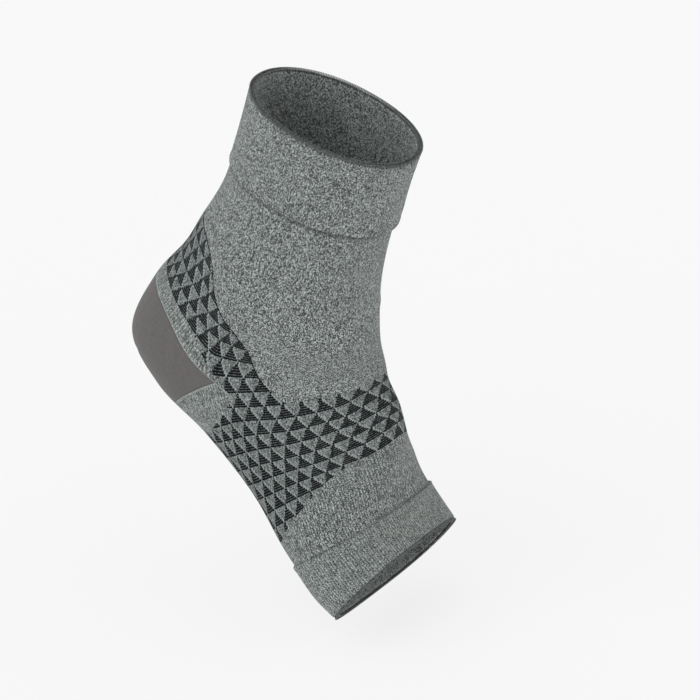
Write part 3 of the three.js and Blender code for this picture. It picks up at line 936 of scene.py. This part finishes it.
# Lines of a doubled band: distance from the fold, outward lift, and lift of the inner face
def bandProfile(depth, b):
    middle = b["rise"] - b["thickness"] / 2
    inner = b["rise"] - b["thickness"]
    lines = []
    for i in range(b["roundLines"]):
        angle = math.pi / 2 * i / b["roundLines"]
        swing = b["thickness"] / 2 * math.sin(angle)
        lines.append((b["fold"] * (1 - math.cos(angle)), middle + swing, middle - swing))
    ridge = b["ridge"] * b["step"]
    flat = depth - ridge - b["fold"]
    lines += [(at, b["rise"], inner)
              for at in np.linspace(b["fold"], depth - ridge, math.ceil(flat / knit["rowStep"]))]
    for i in range(1, b["ridgeLines"] + 1):
        along = i / b["ridgeLines"]
        swell = math.sin(math.pi * along / 2) ** 2
        at = depth - ridge + (ridge - b["step"]) * along
        lines.append((at, b["rise"] + b["bead"] * swell, inner - b["innerBead"] * swell))
    top = b["rise"] + b["bead"]
    for i in range(1, b["roundLines"] + 1):
        angle = math.pi / 2 * i / b["roundLines"]
        at = depth - b["step"] * (1 - math.sin(angle))
        lift = top - (top + b["groove"]) * (1 - math.cos(angle))
        lines.append((at, lift, inner - b["innerBead"] * math.cos(angle)))
    return np.array(lines)


def foldedBand(name, foldStation, depth, direction, rowAtEdge, rowSize, b, proud=0):
    lines = bandProfile(depth, b)
    if direction < 0:
        lines = lines[::-1]
    size = (len(lines), len(b["columns"]))
    station = np.broadcast_to((foldStation + direction * lines[:, 0])[:, None], size)
    across = np.broadcast_to(b["columns"], size)
    points, normals = sample(station, across)
    share = lines[:, 0] / depth
    inFront = proud * np.exp(-((turned(b["columns"]) - 0.5) / b["proudSpread"]) ** 2)
    lower = np.clip((share - b["proudFrom"]) / b["proudOver"], 0, 1) ** 2 * np.clip(lines[:, 1], 0, 1)
    lift = lines[:, 1][:, None] + lower[:, None] * inFront
    outer = points + lift[..., None] * normals
    inner = points + lines[:, 2][:, None, None] * normals
    edgeStation = foldStation + direction * depth
    row = rowAtEdge + (station - edgeStation) / rowSize
    wales = repeatsAt(row, across) * knit["walesInRepeat"]
    fromSeam = np.broadcast_to((depth - lines[:, 0])[:, None], size)
    patch = {
        "outer": outer, "inner": inner,
        "outerNormal": normalsOf(outer, True), "innerNormal": -normalsOf(inner, True),
        "stitch": np.stack([wales, row * knit["coursesInRow"]], -1),
        "seam": np.stack([fromSeam, turned(across)], -1),
    }
    return shell(name, [patch])


ankleCuff = foldedBand("ankleCuff", 0, form["cuffDepth"], 1, knit["firstRow"], knit["cuffRow"], bands,
                       bands["proudInFront"])
finishPiece(ankleCuff, "ankle_cuff", "cuffKnit")
toeCuff = foldedBand("toeCuff", length, form["hemDepth"], -1, knit["lastRow"], knit["hemRow"], bands)
finishPiece(toeCuff, "toe_cuff", "hemKnit")
print("doubled bands ready")


# Single-knit panels

legPanel = shell("legPanel", [
    knitPatch(allRound, level(knit["firstRow"]), bandTop, False, (bands["groove"], 0), "top"),
])
finishPiece(legPanel, "leg_panel", "legKnit")

footPanel = shell("footPanel", [
    knitPatch(allRound, bandBottom, level(knit["lastRow"]), True, (0, bands["groove"]), "bottom"),
])
finishPiece(footPanel, "foot_panel", "footKnit")


# In front of the plain heel area the band's middle line keeps the share of its depth that it has there
def bandMiddle(rounds):
    end = np.array([knit["holeEnd"]])
    share = (heelTop(end) - bandTop(end)) / (bandBottom(end) - bandTop(end))
    return bandTop(rounds) + (bandBottom(rounds) - bandTop(rounds)) * share


supportBand = shell("supportBand", [
    knitPatch(heelRound, bandTop, heelTop, False, measured="top"),
    knitPatch(heelRound, heelBottom, bandBottom, True),
    knitPatch(frontRound, bandTop, bandMiddle, False, measured="top"),
    knitPatch(frontRound, bandMiddle, bandBottom, False),
])
finishPiece(supportBand, "support_band", "bandKnit")


pocketEdge = edge([(0, knit["pocketRow"]), (knit["corner"], knit["pocketRow"]),
                   (knit["holeEnd"], heelTopPoints[-1][1])])
heelSurround = shell("heelSurround", [
    knitPatch(heelRound, heelTop, pocketEdge, False, measured="bottom"),
    knitPatch(heelRound, pocketEdge, heelBottom, True, measured="top"),
])
finishPiece(heelSurround, "heel_surround", "fineKnit")
print("panels ready")


# Heel pocket, from the last course of the leg to the first of the sole

heel = {
    "goreDepth": 0.25,  # crease along the line from the back to each corner
    "goreWidth": 1.1,
    "goreFullOver": 8,  # mm of pocket from edge to edge that give the crease its whole depth
    "goreShadeFrom": 0.3,  # the crease's shade starts this far out, and as much more further round the heel
    "goreShadeRound": 4,
    "courseSize": 0.55,
}


def heelPatch(h):
    top = knitStation(knit["pocketRow"], pocketRound, False)
    bottom = knitStation(knit["pocketRow"], pocketRound, True)
    wide = bottom - top
    steps = math.ceil(wide.max() / knit["rowStep"])
    share = np.linspace(0, 1, steps + 1)[:, None]
    station = top + wide * share
    across = np.broadcast_to(pocketRound, station.shape)
    points, normals = sample(station, across)
    fromGore = np.abs(share - 0.5) * wide
    crease = h["goreDepth"] * np.exp(-(fromGore / h["goreWidth"]) ** 2)
    sink = crease * np.clip(wide / h["goreFullOver"], 0, 1)
    # Painted shade along the gore's crease, fainter further round the heel
    faint = fromGore + h["goreShadeFrom"] + h["goreShadeRound"] * turned(across)
    fromSeam = np.minimum(np.minimum(station - top, bottom - station), faint)
    wales = repeatsAt(knit["pocketRow"], across) * knit["walesInRepeat"]
    return {
        "outer": points - sink[..., None] * normals, "inner": points - form["wall"] * normals,
        "outerNormal": normals, "innerNormal": -normals,
        "stitch": np.stack([wales, (station - top) / h["courseSize"]], -1),
        "seam": np.stack([fromSeam, turned(across)], -1),
    }


heelPocket = shell("heelPocket", [heelPatch(heel)])
finishPiece(heelPocket, "heel_pocket", "heelKnit")
print("heel ready")


# Threads that show one by one: a short thread is placed along a run of points, square to the fabric

threadSizes = {
    "sides": 6,
    "bendSteps": 8,
    "pitch": 0.75,
    "endGap": 0.1,  # from the band's end to the run
    "loopRadius": 0.31,
    "loopInset": 0.2,  # a loop's middle lies this far inside the band's face
    "loopSlant": 0.35,
    "stitchRadius": 0.2,
    "stitchReach": (0.3, 0.5, 0.18),  # half along, half across and how high its middle stands
}


threadLook = {"roughness": 0.85, "sheen": 0.15, "specular": 0.25, "scale": 1400.0, "detail": 3.0,
              "range": (0.35, 0.65), "depth": 0.05}


def threadMaterial(name, dark, light):
    look = threadLook
    material, tree, shader = clothMaterial(name, look)
    place = tree.nodes.new("ShaderNodeTexCoord").outputs["Object"]
    fibres = cloud(tree, place, look["scale"], look["detail"])
    colour = mixed(tree, ramped(tree, fibres, *look["range"]), yarns[dark], yarns[light])
    feed(tree, shader, {"Base Color": colour, "Normal": bumped(tree, fibres, look["depth"], 1.0)})
    return material


# A short tube along a path, closed at both ends. Its path is in mm: x along the run, z out of the fabric.
def shortThread(name, path, radius, t):
    path = np.array(path, float)
    ahead = np.gradient(path, axis=0)
    ahead /= np.linalg.norm(ahead, axis=1, keepdims=True)
    side = np.cross(ahead, (1.0, 0.0, 0.02))
    side /= np.linalg.norm(side, axis=1, keepdims=True)
    other = np.cross(ahead, side)
    angle = 2 * math.pi * np.arange(t["sides"]) / t["sides"]
    ring = np.cos(angle)[None, :, None] * side[:, None] + np.sin(angle)[None, :, None] * other[:, None]
    points = (path[:, None] + radius * ring).reshape(-1, 3)
    count, n = len(path), t["sides"]
    faces = [(i * n + j, i * n + (j + 1) % n, (i + 1) * n + (j + 1) % n, (i + 1) * n + j)
             for i in range(count - 1) for j in range(n)]
    faces += [tuple(reversed(range(n))), tuple((count - 1) * n + j for j in range(n))]
    mesh = bpy.data.meshes.new(name)
    mesh.from_pydata(points * mm, [], faces)
    mesh.polygons.foreach_set("use_smooth", [True] * len(mesh.polygons))
    return bpy.data.objects.new(name, mesh)


# Tree that puts the short thread on each point of a run, turned by the point's own directions
def stitchRunTree():
    tree, given, out = newGroup(
        "stitchRun", [("Run", "Geometry"), ("Thread", "Object"), ("Finish", "Material")],
        [("Stitches", "Geometry")], "GeometryNodeTree",
    )
    turn = {}
    for label, axis, pivot in (("along", "X", "AUTO"), ("outward", "Z", "X")):
        named = made(tree, "GeometryNodeInputNamedAttribute", {"Name": label}, data_type="FLOAT_VECTOR")
        node = made(tree, "FunctionNodeAlignRotationToVector", {"Vector": named.outputs[0], **turn},
                    axis=axis, pivot_axis=pivot)
        turn = {"Rotation": node.outputs[0]}
    thread = made(tree, "GeometryNodeObjectInfo", {"Object": given.outputs["Thread"]})
    place = made(tree, "GeometryNodeInstanceOnPoints", {
        "Points": given.outputs["Run"], "Instance": thread.outputs["Geometry"], **turn,
    })
    real = made(tree, "GeometryNodeRealizeInstances", {0: place.outputs[0]})
    finish = made(tree, "GeometryNodeSetMaterial", {
        "Geometry": real.outputs[0], "Material": given.outputs["Finish"],
    })
    feed(tree, out, {"Stitches": finish.outputs[0]})
    return tree


stitchRun = stitchRunTree()


def stitchedRun(name, points, outward, thread, material):
    along = np.roll(points, -1, axis=0) - np.roll(points, 1, axis=0)
    along /= np.linalg.norm(along, axis=1, keepdims=True)
    mesh = bpy.data.meshes.new(name)
    mesh.from_pydata(points * mm, [], [])
    for label, values in (("along", along), ("outward", outward)):
        mesh.attributes.new(label, "FLOAT_VECTOR", "POINT").data.foreach_set("vector", values.ravel())
    obj = bpy.data.objects.new(name, mesh)
    bpy.context.scene.collection.objects.link(obj)
    bpy.context.scene.collection.objects.link(thread)
    modifier = obj.modifiers.new("stitches", "NODES")
    modifier.node_group = stitchRun
    socket = {s.name: s.identifier for s in stitchRun.interface.items_tree}
    modifier[socket["Thread"]] = thread
    modifier[socket["Finish"]] = material
    bpy.context.view_layer.update()
    stitches = bpy.data.meshes.new_from_object(obj.evaluated_get(bpy.context.evaluated_depsgraph_get()))
    obj.modifiers.remove(modifier)
    obj.data = stitches
    stitches.name = name
    bpy.data.objects.remove(thread)
    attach(obj, "root")
    return obj


# Evenly spaced points round the tube at a station, lifted off its outer face
def runRound(station, lift, pitch):
    fine = np.linspace(0, 1, 2001)
    points, normals = sample(np.full(fine.shape, float(station)), fine)
    points = points + lift * normals
    run = np.concatenate([[0], np.cumsum(np.linalg.norm(np.diff(points, axis=0), axis=1))])
    count = round(run[-1] / pitch)
    at = np.interp(np.arange(count) * run[-1] / count, run, fine)
    points, normals = sample(np.full(at.shape, float(station)), at)
    return points + lift * normals, normals


greyThread = threadMaterial("greyThread", "greyDark", "greyLight")
# The edge loops' thread is darker than the grey yarn: painted shadow along the sleeve's edges
edgeThreadAndShadow = threadMaterial("edgeThreadAndShadow", "edgeShadowDark", "edgeShadowLight")
middleLift = bands["rise"] - bands["thickness"] / 2


def seamRun(name, station, lift, path, radius, material):
    points, normals = runRound(station, lift, threadSizes["pitch"])
    thread = shortThread(name + "Thread", path, radius, threadSizes)
    return stitchedRun(name, points, normals, thread, material)


# Loops that wrap a folded edge. Their thread is darkened as painted shadow, a dark line along the edge.
def edgeLoops(name, station, direction, t):
    radius = bands["thickness"] / 2 - t["loopInset"]
    angle = np.linspace(-0.5, 0.5, t["bendSteps"]) * math.pi
    path = [(t["loopSlant"] * math.sin(a), direction * (bands["fold"] * (1 - math.cos(a))),
             radius * math.sin(a)) for a in angle]
    return seamRun(name, station, middleLift, path, t["loopRadius"], edgeThreadAndShadow)


# Slanting stitches along a sewn edge
def seamStitches(name, station, t):
    along, across, height = t["stitchReach"]
    path = [(along * s, across * s, height * (1 - s * s)) for s in np.linspace(-1, 1, t["bendSteps"])]
    return seamRun(name, station, -bands["groove"], path, t["stitchRadius"], greyThread)


gap = threadSizes["endGap"]
edgeLoops("ankleEdgeLoops", gap, 1, threadSizes)
edgeLoops("toeEdgeLoops", length - gap, -1, threadSizes)
seamStitches("cuffSeam", form["cuffDepth"] - gap, threadSizes)
seamStitches("hemSeam", length - form["hemDepth"] + gap, threadSizes)
print("threads ready")
